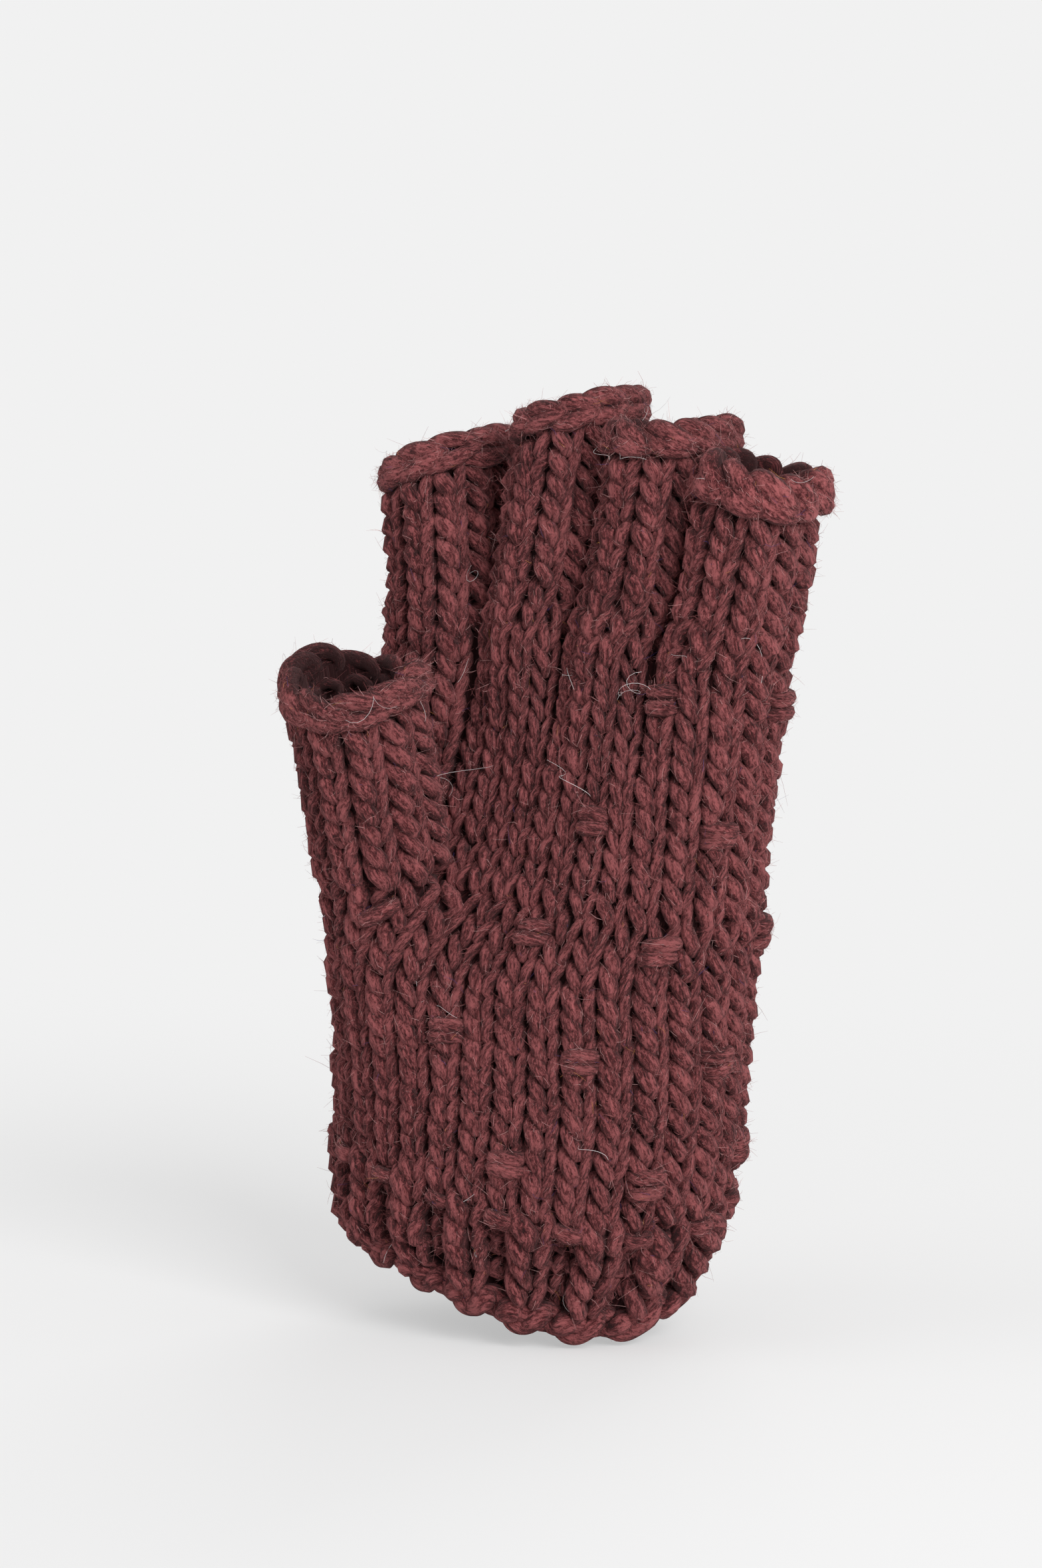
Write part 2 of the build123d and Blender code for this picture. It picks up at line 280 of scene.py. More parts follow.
def strand(path, normal, width, thick, closed, seed):
    """A tube along a path: path + width cos side + thick sin out, an ellipse with its own size at each point.

    Returns the corners, the faces, for each face corner the place along the yarn and round it, and what
    the fuzz is rooted by.
    """
    n = len(path)
    tangent = unit(np.roll(path, -1, 0) - np.roll(path, 1, 0) if closed else np.gradient(path, axis=0))
    side = unit(np.cross(normal, tangent))
    out = np.cross(tangent, side)
    turn = 2 * np.pi * np.arange(SIDES) / SIDES
    ring = (path[:, None] + np.cos(turn)[None, :, None] * side[:, None] * width[:, None, None]
            + np.sin(turn)[None, :, None] * out[:, None] * thick[:, None, None])
    step = np.linalg.norm(np.roll(path, -1, 0) - path, axis=1)
    run = np.concatenate(([0], np.cumsum(step)))
    spans = n if closed else n - 1
    i, j = np.meshgrid(np.arange(spans), np.arange(SIDES), indexing="ij")
    i1, j1 = (i + 1) % n, (j + 1) % SIDES
    quads = np.stack((i * SIDES + j, i1 * SIDES + j, i1 * SIDES + j1, i * SIDES + j1), -1).reshape(-1, 4)
    around = np.stack((j, j, j + 1, j + 1), -1).reshape(-1, 4) / SIDES
    along = run[np.stack((i, i + 1, i + 1, i), -1)].reshape(-1, 4) + MAP_SHIFT * seed
    return ring.reshape(-1, 3), quads, along, around, (path, tangent, side, out, width, thick)


class Skein:
    """The strands of one piece, gathered as arrays until the mesh is made."""

    def __init__(self):
        self.points, self.faces, self.along, self.around, self.frames = [], [], [], [], []
        self.count = 0

    def add(self, points, faces, along, around, frames=None):
        """Takes in a strand or a skin; only what has frames grows fuzz."""
        self.points.append(points)
        self.faces.append(faces + self.count)
        self.along.append(along)
        self.around.append(around)
        self.count += len(points)
        if frames:
            self.frames.append(frames)


def mesh_piece(name, points, faces):
    """A piece whose mesh has these corners, given in mm, and these faces, all with as many sides."""
    mesh = bpy.data.meshes.new(name)
    mesh.vertices.add(len(points))
    mesh.vertices.foreach_set("co", (points * MM).astype(np.float32).ravel())
    mesh.loops.add(faces.size)
    mesh.loops.foreach_set("vertex_index", faces.ravel().astype(np.int32))
    mesh.polygons.add(len(faces))
    mesh.polygons.foreach_set("loop_start", np.arange(0, faces.size, faces.shape[1], dtype=np.int32))
    mesh.polygons.foreach_set("use_smooth", np.ones(len(faces), bool))
    mesh.update(calc_edges=True)
    piece = bpy.data.objects.new(name, mesh)
    bpy.context.collection.objects.link(piece)
    return piece


def wool_mesh(name, skein, material):
    """One piece of all the strands in a skein, with the yarn's own map for its fibres."""
    piece = mesh_piece(name, np.concatenate(skein.points), np.concatenate(skein.faces))
    along, around = np.concatenate(skein.along).ravel(), np.concatenate(skein.around).ravel()
    layer = piece.data.uv_layers.new(name="yarn")
    layer.data.foreach_set("uv", np.stack((along, around), -1).astype(np.float32).ravel())
    piece.data.materials.append(material)
    piece.data.validate()
    return piece


def new_material(name):
    """A material, its nodes, their links and its shader."""
    material = bpy.data.materials.new(name)
    material.use_nodes = True
    tree = material.node_tree
    return material, tree.nodes, tree.links, tree.nodes["Principled BSDF"]


def dial(node, values):
    """Sets the inputs of a node that have these names."""
    for key, value in values.items():
        node.inputs[key].default_value = value


def maths(operation, first, second=None):
    """The result of a sum on a node's output and, if it takes two, a number or another output."""
    tree = first.id_data
    made = tree.nodes.new("ShaderNodeMath")
    made.operation = operation
    tree.links.new(first, made.inputs[0])
    if isinstance(second, (int, float)):
        made.inputs[1].default_value = second
    elif second is not None:
        tree.links.new(second, made.inputs[1])
    return made.outputs[0]


def wool(name):
    """Maroon wool: fine fibres that wind along the yarn, light over dark, with soft blotches.

    The tone is 0.34 strands + 0.52 fine + 0.14 blotch, plus painted shade: a little more on the strand's face
    and a little less on its sides and back.
    """
    material, nodes, links, shader = new_material(name)
    yarn = nodes.new("ShaderNodeUVMap")
    yarn.uv_map = "yarn"
    split = nodes.new("ShaderNodeSeparateXYZ")
    links.new(yarn.outputs[0], split.inputs[0])
    round_yarn = maths("MULTIPLY", split.outputs[1], 2 * np.pi)
    turn = maths("ADD", round_yarn, maths("MULTIPLY", split.outputs[0], TWIST))

    def fibres(radius, stretch, scale, detail, rough):
        """Noise read on a helix: long along the yarn, and as fine round it as the radius is large."""
        helix = nodes.new("ShaderNodeCombineXYZ")
        links.new(maths("MULTIPLY", split.outputs[0], stretch), helix.inputs[0])
        links.new(maths("MULTIPLY", maths("COSINE", turn), radius), helix.inputs[1])
        links.new(maths("MULTIPLY", maths("SINE", turn), radius), helix.inputs[2])
        noise = nodes.new("ShaderNodeTexNoise")
        dial(noise, {"Scale": scale, "Detail": detail, "Roughness": rough, "Distortion": 0.5})
        links.new(helix.outputs[0], noise.inputs["Vector"])
        return noise.outputs["Fac"]

    strands = fibres(1.3, 0.26, 1.7, 3, 0.6)
    fine = fibres(1.8, 0.70, 2.0, 4, 0.8)
    place = nodes.new("ShaderNodeTexCoord")
    blotch = nodes.new("ShaderNodeTexNoise")
    dial(blotch, {"Scale": 140, "Detail": 2})
    links.new(place.outputs["Object"], blotch.inputs["Vector"])
    mixed = maths("ADD", maths("MULTIPLY", strands, 0.34), maths("MULTIPLY", fine, 0.52))
    mixed = maths("ADD", mixed, maths("MULTIPLY", blotch.outputs["Fac"], 0.14))
    # Painted shade: the strand's face is painted lighter and its sides and back darker, as if shaded by the
    # strands round them
    mixed = maths("ADD", mixed, maths("MULTIPLY", maths("SINE", round_yarn), PAINTED_STRAND_SHADE))
    ramp = nodes.new("ShaderNodeValToRGB")
    stops = ramp.color_ramp.elements
    stops[0].position, stops[0].color = 0.460, (0.014, 0.0024, 0.0030, 1)
    stops[1].position, stops[1].color = 0.626, (0.305, 0.085, 0.087, 1)
    middle = stops.new(0.53)
    middle.color = (0.075, 0.0138, 0.0153, 1)
    links.new(mixed, ramp.inputs[0])
    links.new(ramp.outputs[0], shader.inputs["Base Color"])
    bump = nodes.new("ShaderNodeBump")
    dial(bump, {"Strength": 1.0, "Distance": 0.0013})
    raised = maths("ADD", maths("MULTIPLY", strands, 0.5), maths("MULTIPLY", fine, 0.5))
    links.new(raised, bump.inputs["Height"])
    links.new(bump.outputs[0], shader.inputs["Normal"])
    dial(shader, {"Roughness": 0.95, "Specular IOR Level": 0.12})
    dial(shader, {"Sheen Weight": 0.20, "Sheen Roughness": 0.6, "Sheen Tint": (0.62, 0.34, 0.34, 1)})
    return material


maroon = wool("wool")

EDGE_RADIUS = 2.05
EDGE_FLAT = 1.1  # the strand's width next to its thickness
EDGE_TWIST = 1.35  # how far each strand runs from the middle of the rope
EDGE_COURSE, EDGE_INSET = 0.32, 1.9  # where the middle of the rope lies, in courses and in mm
EDGE_UNEVEN = 0.30
UNDER_RIB = (0.6, 0.5)  # how far out and how far down the rope is pushed below a knitted rib
COURSE_PITCH = 4.5  # height of a course


def edge_rope(turned, seed):
    """One of the two strands of the cast-on rope: a helix round the hem that turns once in two columns.

    Lift = r cos turn - inset and height = middle + r sin turn, turn being pi t + 0.5 sin 2 pi t.
    """
    rng = np.random.default_rng(seed)
    t = np.arange(HAND_COLUMNS * SAMPLES) / SAMPLES
    each = rng.normal(0, EDGE_UNEVEN, HAND_COLUMNS)
    bumps = np.interp(t, np.arange(HAND_COLUMNS + 1), np.append(each, each[0]))
    turn = np.pi * t + turned + 0.5 * np.sin(2 * np.pi * t)
    rib = np.sin(np.pi * t)
    lift = EDGE_TWIST * np.cos(turn) - EDGE_INSET + bumps + UNDER_RIB[0] * rib
    course = EDGE_COURSE + (EDGE_TWIST * np.sin(turn) + bumps - UNDER_RIB[1] * rib) / COURSE_PITCH
    path, normal = below_thumb(t, course, lift, HAND_COLUMNS)
    size = EDGE_RADIUS * (0.97 + 0.14 * np.sin(2 * turn) + 0.4 * bumps + 0.06 * rib)
    return strand(path, normal, size * EDGE_FLAT, size, True, seed)


skein = Skein()
for turned, seed in ((0.0, 11), (np.pi, 12)):
    skein.add(*edge_rope(turned, seed))
piece = wool_mesh("cast_on_edge_yarn", skein, maroon)
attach(piece, "hand")
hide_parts("cast_on_edge")

# ============================================================ ribbed cuff
# A one-and-one rib in the same wool, knitted straight on from the cast-on edge: knitted columns stand out and
# close up over purled ones, which makes the cuff springy. Its courses are loops that hang in those below, and
# the loose ends of their fibres stand off the yarn as fuzz.

LOOP_HEIGHT = 0.86  # half the height of a loop, in courses: each loop reaches into its neighbours
LOOP_WAIST = 0.225  # how far the legs close in at their feet and open at the top, in columns
LOOP_LEAN = 0.14  # the whole loop leans to the left, so that its left legs slant more
LEG_BIAS = 0.15  # how much plumper the left legs are, and thinner the right ones
# How far both legs are drawn in towards the middle of their column, for each mm that it stands out
LEG_CLOSE = 0.016
WALE = 0.95  # how far the middle of a column stands out next to the grooves beside it
LOOP_DEPTH = 1.6  # how far the legs come forward, and the heads and feet go back
LEG_WIDTH = 0.208  # half width of the strand on a leg, in columns
LEG_THICK = 1.75  # half thickness of the strand on a leg
CROSSING = 0.70  # the strand's size where loops cross, next to that on a leg
WIDEST_COLUMN = 8.2  # the strand grows no thicker where columns spread further than this
PROUD = 0.6  # how far the legs stand out of the fabric's nominal surface
SHORTEST_RUN = 6  # samples that a cut strand has at least
RUN_END = 3  # samples over which it thins out at its ends
MAT_DEPTH = 2.7  # how deep in the fabric its matted middle lies
MAT_COLUMN = 7.2  # width of a column in the matted skin's map of the yarn
RIB_COURSES = 4
RIB_RELIEF = 1.1  # how far a knitted rib stands out
RIB_SINK = 3.0  # how far a purled one sinks
RIB_SPREAD = 0.22  # how far a rib spreads over its purled neighbours, in columns


def loops(total, course, seed, wale):
    """The yarn's path through one course: x = t + a sin 2t + lean cos t, y = -h cos t, lift = -d cos 2t.

    To that lift the wale adds -w cos x. Every stitch differs a little in height, lean, size and place.
    """
    rng = np.random.default_rng(seed)
    t = np.arange(total * SAMPLES) / SAMPLES

    def uneven(amount):
        """A value for each stitch, joined smoothly from one stitch to the next."""
        each = rng.normal(0, amount, total + 1)
        each[-1] = each[0]
        return np.interp(t, np.arange(total + 1), each)

    phase = 2 * np.pi * t
    lean = LOOP_LEAN + uneven(0.03)
    waist = LOOP_WAIST + uneven(0.02)
    rise = LOOP_HEIGHT + uneven(0.05)
    x = t + waist * np.sin(2 * phase) + LEG_CLOSE * wale * np.sin(phase)
    x = x + lean * np.cos(phase) + uneven(0.03)
    y = course + 0.5 - rise * np.cos(phase) + uneven(0.07)
    depth = LOOP_DEPTH * (1 + uneven(0.12))
    lift = -depth * np.cos(2 * phase) - wale * np.cos(2 * np.pi * x)
    size = 1 - (1 - CROSSING) * (0.5 + 0.5 * np.cos(2 * phase)) + LEG_BIAS * np.sin(phase)
    size = size * (1 + uneven(0.09))
    return x, y, lift, size


def column_width(place, total, course, x):
    """Width of a column of stitches at each point of a course, from the surface itself."""
    near, _ = place(x - 0.25, np.full_like(x, course + 0.5), np.zeros_like(x), total)
    far, _ = place(x + 0.25, np.full_like(x, course + 0.5), np.zeros_like(x), total)
    return 2 * np.linalg.norm(far - near, axis=1)


def course_strand(place, total, course, seed, keep=None, shape=None, wale=WALE):
    """The strands of one course, as one ring or, where part of it is left out, as the runs that stay."""
    x, y, lift, size = loops(total, course, seed, wale)
    if shape:
        x, y, lift, size = shape(x, y, lift, size)
    wide = np.minimum(column_width(place, total, course, x), WIDEST_COLUMN)
    path, normal = place(x, y, lift - LOOP_DEPTH - LEG_THICK + PROUD, total)
    width, thick = LEG_WIDTH * wide * size, LEG_THICK * size
    wanted = keep(path) if keep else np.ones(len(path), bool)
    if wanted.all():
        return [strand(path, normal, width, thick, True, seed)]
    start = np.argmin(wanted)
    order = np.roll(np.arange(len(path)), -start)
    wanted = wanted[order]
    edges = np.flatnonzero(np.diff(np.concatenate(([0], wanted.astype(int), [0]))))
    made = []
    for low, high in zip(edges[::2], edges[1::2]):
        if high - low > SHORTEST_RUN:
            run = order[low:high]
            from_start = np.arange(high - low)
            taper = np.clip(np.minimum(from_start, from_start[::-1]) / RUN_END, 0.05, 1)
            made.append(strand(path[run], normal[run], width[run] * taper, thick[run] * taper, False, seed))
    return made


def matting(place, total, first, last, relief=None, keep=None):
    """The matted fibres at the middle of the fabric, as one skin: P(x, y, -MAT_DEPTH + relief(x))."""
    columns, courses = np.arange(0, total, 1 / 3), np.arange(first, last + 0.01, 0.5)
    x, y = (c.ravel() for c in np.meshgrid(columns, courses))
    lift = -MAT_DEPTH + (relief(x) if relief else 0 * x)
    points, _ = place(x, y, lift, total)
    j, i = np.meshgrid(np.arange(len(courses) - 1), np.arange(len(columns)), indexing="ij")
    here, up, right = j * len(columns), (j + 1) * len(columns), (i + 1) % len(columns)
    faces = np.stack((here + i, here + right, up + right, up + i), -1).reshape(-1, 4)
    if keep:
        faces = faces[keep(points[faces].mean(1))]
    # Its map puts it on the back of a strand, so it takes the wool's darkest painted shade
    return points, faces, MAT_COLUMN * x[faces], np.full(faces.shape, 0.75)


def rib_relief(x):
    """How far the rib stands out at a column: up on the knitted ones and further down on the purled."""
    knit = np.sin(np.pi * x)
    return np.where(knit > 0, RIB_RELIEF, RIB_SINK) * knit


def ribbed(x, y, lift, size):
    """A course of rib: knitted columns are lifted and widened, purled ones turned inside out and sunk."""
    knit = np.sin(np.pi * x)
    side = np.clip(2.5 * knit, -1, 1)
    return x - RIB_SPREAD * np.cos(np.pi * x), y, lift * side + rib_relief(x), size * (1.08 + 0.26 * knit)


HAIR_JOINTS = 3
HAIR_THICK = 0.032  # radius of a fibre
HAIR_DEEP = 0.15  # how deep in the strand a fibre is rooted
HAIR_LONG = (0.9, 2.6)
HAIR_KINDS, KIND_SHARES = (0.6, 1.0, 1.5), (0.50, 0.42, 0.08)  # short, plain and long fibres
CURL_JOINTS = 14
CURL_THICK = 0.042
TONE_SHARES = (0.70, 0.275, 0.018, 0.007)  # maroon, pale, plum and orange fibres
CUFF_FUZZ = 9000


def spikes(lines, radius):
    """Three-sided tubes along many lines at once: line + radius (cos across + sin third)."""
    number, joints = lines.shape[:2]
    tangent = unit(np.gradient(lines, axis=1))
    across = unit(np.cross(tangent, np.array((0.31, 0.52, 0.80))))
    third = np.cross(tangent, across)
    corner = 2 * np.pi * np.arange(3)[:, None] / 3
    ring = np.cos(corner) * across[:, :, None] + np.sin(corner) * third[:, :, None]
    points = lines[:, :, None] + radius[..., None, None] * ring
    k, j = np.meshgrid(np.arange(joints - 1), np.arange(3), indexing="ij")
    j1 = (j + 1) % 3
    quads = np.stack((k * 3 + j, k * 3 + j1, (k + 1) * 3 + j1, (k + 1) * 3 + j), -1).reshape(-1, 4)
    faces = quads[None] + 3 * joints * np.arange(number)[:, None, None]
    return points.reshape(-1, 3), faces.reshape(-1, 4)


def rooted(skein, number, rng):
    """Random roots on the outer half of a skein's strands, with the way along the yarn and outwards there."""
    path, tangent, side, out, width, thick = (np.concatenate(c) for c in zip(*skein.frames))
    pick = rng.integers(0, len(path), number)
    turn = rng.uniform(-0.15, np.pi + 0.15, number)
    cos, sin = np.cos(turn)[:, None], np.sin(turn)[:, None]
    radial = cos * side[pick] + sin * out[pick]
    root = path[pick] + cos * side[pick] * width[pick, None] + sin * out[pick] * thick[pick, None]
    return root - HAIR_DEEP * radial, rng.choice((-1, 1), (number, 1)) * tangent[pick], radial


def hairs(skein, number, rng):
    """Short fibres: root + L (s start + s^2 bend), starting along the yarn and curving over."""
    root, along, radial = rooted(skein, number, rng)
    raised = 0.06 + 0.84 * rng.uniform(0, 1, (number, 1)) ** 1.4
    sideways = np.cross(along, radial) * rng.normal(0, 0.45, (number, 1))
    start = unit(along * (1 - 0.5 * raised) + radial * raised + sideways)
    bend = rng.normal(0, 0.42, (number, 3)) - 0.26 * radial
    long = rng.uniform(*HAIR_LONG, (number, 1, 1)) * rng.choice(HAIR_KINDS, (number, 1, 1), p=KIND_SHARES)
    s = np.linspace(0, 1, HAIR_JOINTS)[None, :, None]
    lines = root[:, None] + long * (s * start[:, None] + s * s * bend[:, None])
    radius = HAIR_THICK * rng.uniform(0.7, 1.2, (number, 1)) * (1 - 0.6 * s[..., 0] ** 2)
    return spikes(lines, radius)


def curls(skein, number, rng):
    """Long stray fibres: root + L s start + R (sin w s, 1 - cos w s), each drifting off in a loose curl."""
    root, along, radial = rooted(skein, number, rng)
    start = unit(along + radial * rng.uniform(0.15, 0.5, (number, 1)) + rng.normal(0, 0.25, (number, 3)))
    one = unit(np.cross(start, radial))
    other = radial * 0.5 + start * 0.8
    s = np.linspace(0, 1, CURL_JOINTS)[None, :, None]
    turn = rng.uniform(3, 9, (number, 1, 1)) * s
    size, long = rng.uniform(0.5, 2.0, (number, 1, 1)), rng.uniform(3, 10, (number, 1, 1))
    curl = np.sin(turn) * one[:, None] + (1 - np.cos(turn)) * other[:, None]
    lines = root[:, None] + long * s * start[:, None] + size * curl
    return spikes(lines, CURL_THICK * (1 - 0.5 * s[..., 0] ** 2) * np.ones((number, 1)))


def fibre(name, colour):
    """A single wool fibre's own soft colour."""
    material, _, _, shader = new_material(name)
    dial(shader, {"Base Color": (*colour, 1), "Roughness": 0.8, "Specular IOR Level": 0.2})
    return material


TONES = [fibre(*tone) for tone in (
    ("maroon_fibres", (0.32, 0.108, 0.108)),
    ("pale_fibres", (0.58, 0.32, 0.31)),
    ("plum_fibres", (0.09, 0.06, 0.20)),
    ("orange_fibres", (0.60, 0.26, 0.08)),
    ("grey_fibres", (0.66, 0.60, 0.60)),
)]


def fuzz_mesh(name, skein, number, stray, seed):
    """The fuzz of one piece: short fibres in several tones, and a few long grey strays."""
    rng = np.random.default_rng(seed)
    points, faces = hairs(skein, number, rng)
    tones = np.repeat(rng.choice(len(TONE_SHARES), number, p=TONE_SHARES), 3 * (HAIR_JOINTS - 1))
    more, far = curls(skein, stray, rng)
    piece = mesh_piece(name, np.concatenate((points, more)), np.concatenate((faces, far + len(points))))
    tones = np.concatenate((tones, np.full(len(far), len(TONES) - 1)))
    piece.data.polygons.foreach_set("material_index", tones.astype(np.int32))
    for tone in TONES:
        piece.data.materials.append(tone)
    return piece


skein = Skein()
for course in range(1, 1 + RIB_COURSES):
    for made in course_strand(below_thumb, HAND_COLUMNS, course, 100 + course, shape=ribbed):
        skein.add(*made)
skein.add(*matting(below_thumb, HAND_COLUMNS, 0.2, 5.2, relief=rib_relief))
piece = wool_mesh("cuff_rib_courses", skein, maroon)
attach(piece, "hand")
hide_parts("cuff_rib")
piece = fuzz_mesh("cuff_fuzz", skein, CUFF_FUZZ, 4, 7)
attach(piece, "hand")

# ============================================================ the plain hand tube
# Stocking stitch: every course hangs in the one below it, smooth side out. Above the thumb's swell the
# courses run behind the thumb, and the part of them that would cross its hollow is left out.

HAND_BANDS = ((5, 11), (11, 18), (18, 24), (24, 29))  # courses to a piece, from one to before the other
HAND_FUZZ = 2200  # fibres to a course
THUMB_COURSE = 18  # courses below this run over the thumb's swell
THUMB_ROOT = np.array((-21.4, -22.6, 86.0))
THUMB_WAY = np.array((0.02, -0.29, 0.957))
THUMB_WAY /= np.linalg.norm(THUMB_WAY)
THUMB_SIZE = (27.6, 26.4, 42.5)  # width, depth and length with the rim
THUMB_ACROSS = np.array((1, 0, -THUMB_WAY[0] / THUMB_WAY[2]))
THUMB_ACROSS /= np.linalg.norm(THUMB_ACROSS)
THUMB_FORE = np.cross(THUMB_WAY, THUMB_ACROSS)
CUT_INSET = 2.5  # how deep in the other tube's wall a strand ends


def outside_thumb(points):
    """Whether each point is clear of the thumb's hollow."""
    local = points - THUMB_ROOT
    x, y, z = local @ THUMB_ACROSS, local @ THUMB_FORE, local @ THUMB_WAY
    rx, ry = THUMB_SIZE[0] / 2 - CUT_INSET, THUMB_SIZE[1] / 2 - CUT_INSET
    return ((x / rx) ** 2 + (y / ry) ** 2 > 1) | (z < 0)


above_thumb = surface(hand_grid(False), -1, HAND_COURSES + 1)

for first, last in HAND_BANDS:
    skein = Skein()
    for course in range(first, last):
        place = below_thumb if course < THUMB_COURSE else above_thumb
        keep = outside_thumb if course >= THUMB_COURSE else None
        for made in course_strand(place, HAND_COLUMNS, course, 100 + course, keep=keep):
            skein.add(*made)
    skein.add(*matting(place, HAND_COLUMNS, first, last, keep=keep))
    piece = wool_mesh("hand_courses_%d_to_%d" % (first, last - 1), skein, maroon)
    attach(piece, "hand")
    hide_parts("hand_body")
    courses = last - first
    piece = fuzz_mesh("hand_fuzz_%d" % first, skein, HAND_FUZZ * courses, 2 * courses, 70 + first)
    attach(piece, "hand")

# ============================================================ purl bumps
# Two rows of purl worked on a single column make a bump: two short bars of yarn lying across it, one over
# the other. They dot the hand in every fourth column, and a single one closes each purl column of the rib.

BUMP_LINES = ((7, 9), (12, 7), (17, 9), (22, 10), (27.5, 12))  # course of each line and its first column
LAST_BUMP = 28  # the thumb's side of the hand has none
BUMP_COLUMNS = 4
BAR_SPACING = 0.58  # between the two bars of a bump, in courses
BAR_HALF = 0.47  # half a bar's length, in columns
KNOT_HALF = 0.36  # half the length of a bar over the rib
KNOT_COURSE = 4.55  # the course that it lies at
PICKED_UP = (4.35, 16.6, 0.28, 0.45)  # column, course, half length and slant of the stitch below the thumb
PURL_FUZZ = 4400
BAR_TALL, BAR_DEEP = 1.65, 1.5  # half height and half depth of the strand in a bar
BAR_LIFT, BAR_DIVE = 1.0, 4.0  # how far a bar stands out at its middle, and how deep its ends go


def purl_bar(place, column, course, half, seed, slant=0.0):
    """One bar: x = c + h s, y = r + slant s - sag s^2, lift = top - dive s^4, so that its ends go in."""
    rng = np.random.default_rng(seed)
    s = np.linspace(-1, 1, 17)
    x = column + 0.5 + 0.03 * rng.normal() + half * s
    y = course + 0.04 * rng.normal() + (slant + 0.05 * rng.normal()) * s - 0.08 * rng.uniform(-0.4, 1) * s * s
    path, normal = place(x, y, BAR_LIFT + 0.2 * rng.normal() - BAR_DIVE * s**4, HAND_COLUMNS)
    size = (1 - 0.25 * s**4) * (1 + 0.07 * rng.normal())
    return strand(path, normal, BAR_TALL * size, BAR_DEEP * size, False, seed)


skein = Skein()
for line, (course, first_column) in enumerate(BUMP_LINES):
    place = below_thumb if course < THUMB_COURSE else above_thumb
    for column in range(first_column, LAST_BUMP, BUMP_COLUMNS):
        for half_way in (-0.5, 0.5):
            seed = 7000 + 100 * line + 2 * column + int(half_way + 1)
            skein.add(*purl_bar(place, column, course + half_way * BAR_SPACING, BAR_HALF, seed, slant=0.10))
for column in range(1, HAND_COLUMNS, 2):
    skein.add(*purl_bar(below_thumb, column, KNOT_COURSE, KNOT_HALF, 7900 + column))
# One thick stitch slants below the thumb, where its own stitches were picked up
column, course, half, slant = PICKED_UP
skein.add(*purl_bar(below_thumb, column, course, half, 7990, slant=slant))
piece = wool_mesh("purl_bumps", skein, maroon)
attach(piece, "hand")
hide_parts("purl_bars")
piece = fuzz_mesh("purl_fuzz", skein, PURL_FUZZ, 4, 60)
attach(piece, "hand")

# ============================================================ thumb and fingers
# Each digit's tube is picked up at the hand and knitted on upwards: four columns from the palm and four
# from the back of the hand, and two more from the crotches beside it. It is soft at the knuckle.

DIGIT_COLUMNS = 10
TUBE_POINTS = 1441
DIGIT_WALE = 1.4  # how far the middle of a column stands out on these narrow tubes
DIGIT_FUZZ, RIM_FUZZ = 750, 2400  # fibres to a course, and to a rim
THUMB_COURSES = 7
THUMB_TRIMMED = 6  # its lowest courses, which end where they would cross the hand's hollow
# Height of the bound-off rim, the degrees by which it rises towards the little finger, half the length of
# a link of its chain in columns, and how far a link slants down and how far the rim's corners turn up, in mm
RIMS = {
    "thumb": (8.0, -3.0, 0.72, 0.9, 1.7),
    "index": (7.4, 15.0, 0.78, 0.0, 0.3),
    "middle": (7.4, 24.0, 0.78, 0.0, 0.3),
    "ring": (7.4, 13.0, 0.66, 1.6, 0.3),
    "little": (9.2, -2.0, 0.64, 2.2, 0.3),
}
ROOT_SETTLE = 13.0  # height over which a finger takes its round shape
CROTCH_GAP = 1.2  # half the gap between neighbouring fingers at their crotch
FINGER_SQUARE = 2.7
ROOT_BLUR = 8  # grid points over which the corners of its root are rounded off
# X of the root, lean in degrees, width, depth and length with the rim, courses, then the columns of the
# hand that its palm side and back start from, and the columns picked up on its right and left
FINGERS = {
    "index": (-20.6, -3.0, 23.0, 26.5, 37.5, 7, 0, 28, 2, 0),
    "middle": (1.2, 10.0, 19.6, 28.0, 49.5, 10, 4, 24, 1, 1),
    "ring": (22.1, 11.0, 20.6, 27.0, 47.4, 9, 8, 20, 1, 1),
    "little": (43.9, 11.5, 22.0, 26.0, 41.0, 7, 12, 16, 0, 2),
}


def outside_hand(points):
    """Whether each point is clear of the hand's hollow."""
    x, y, wide, deep, square = at_height(HAND_SECTIONS, points[:, 2])
    across = np.abs((points[:, 0] - x) / (wide - CUT_INSET)) ** square
    return across + np.abs((points[:, 1] - y) / (deep - CUT_INSET)) ** square > 1


def round_tube(width, depth, square, start, columns):
    """Places round a superellipse at evenly spread columns, from a start angle in degrees."""
    turn = np.radians(start) + np.linspace(0, 2 * np.pi, TUBE_POINTS)
    cos, sin = np.cos(turn), np.sin(turn)
    x = width / 2 * np.sign(cos) * np.abs(cos) ** (2 / square)
    y = depth / 2 * np.sign(sin) * np.abs(sin) ** (2 / square)
    run = np.concatenate(([0], np.cumsum(np.hypot(np.diff(x), np.diff(y)))))
    at = columns / DIGIT_COLUMNS * run[-1]
    return np.interp(at, run, x), np.interp(at, run, y)


def climb(length, rim, rise, courses, across):
    """Heights of a digit's rows, level and tilted, from one course below the root to three past the last.

    The tilt grows towards the rim, where it is across tan(rise). Also returns the height of a course.
    """
    pitch = (length - rim) / courses
    level = np.arange(-1, courses + 3.01, 1 / GRID_COURSES)[:, None] * pitch
    return level, level + np.minimum(level / (length - rim), 1) * across * np.tan(np.radians(rise)), pitch


